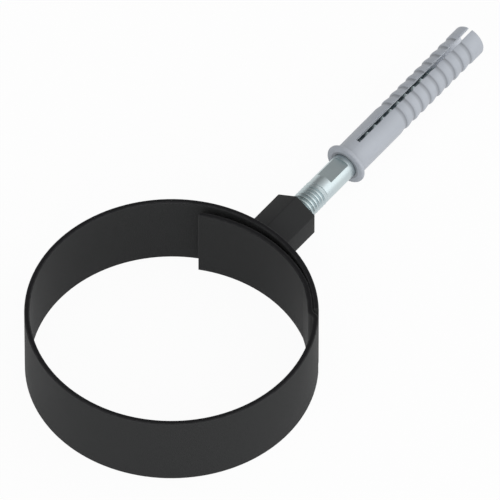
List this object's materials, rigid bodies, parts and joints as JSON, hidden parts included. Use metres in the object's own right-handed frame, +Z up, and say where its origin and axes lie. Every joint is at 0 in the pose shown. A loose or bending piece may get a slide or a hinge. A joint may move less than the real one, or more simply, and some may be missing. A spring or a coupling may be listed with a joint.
{
  "type": "flue pipe wall bracket",
  "caption": "Steel strip ring that holds a flue pipe, with a hexagonal threaded boss, a hanger bolt and a nylon wall plug.",
  "frame": {"origin": "where the flue's axis crosses the bolt's axis, half way up the band", "axes": "+Z up along the flue, +Y along the bolt towards the wall"},
  "size_m": [0.083, 0.1815, 0.024],
  "materials": {
    "black_paint": "matt black heat-resistant paint",
    "zinc_plate": "bright zinc plate",
    "grey_nylon": "moulded nylon"
  },
  "bodies": {
    "bracket": {"clamp_band": "black_paint", "hex_boss": "black_paint", "boss_weld": "black_paint"},
    "bolt": {"hanger_bolt": "zinc_plate"},
    "plug": {"wall_plug": "grey_nylon"}
  },
  "joints": [
    {"name": "bolt_turn", "type": "hinge", "parent": "bracket", "child": "bolt", "pos_m": [0, 0.05, 0], "axis": [0, 1, 0], "continuous": true},
    {"name": "plug_pull", "type": "slide", "parent": "bolt", "child": "plug", "axis": [0, 1, 0], "range_m": [0, 0.048]}
  ]
}
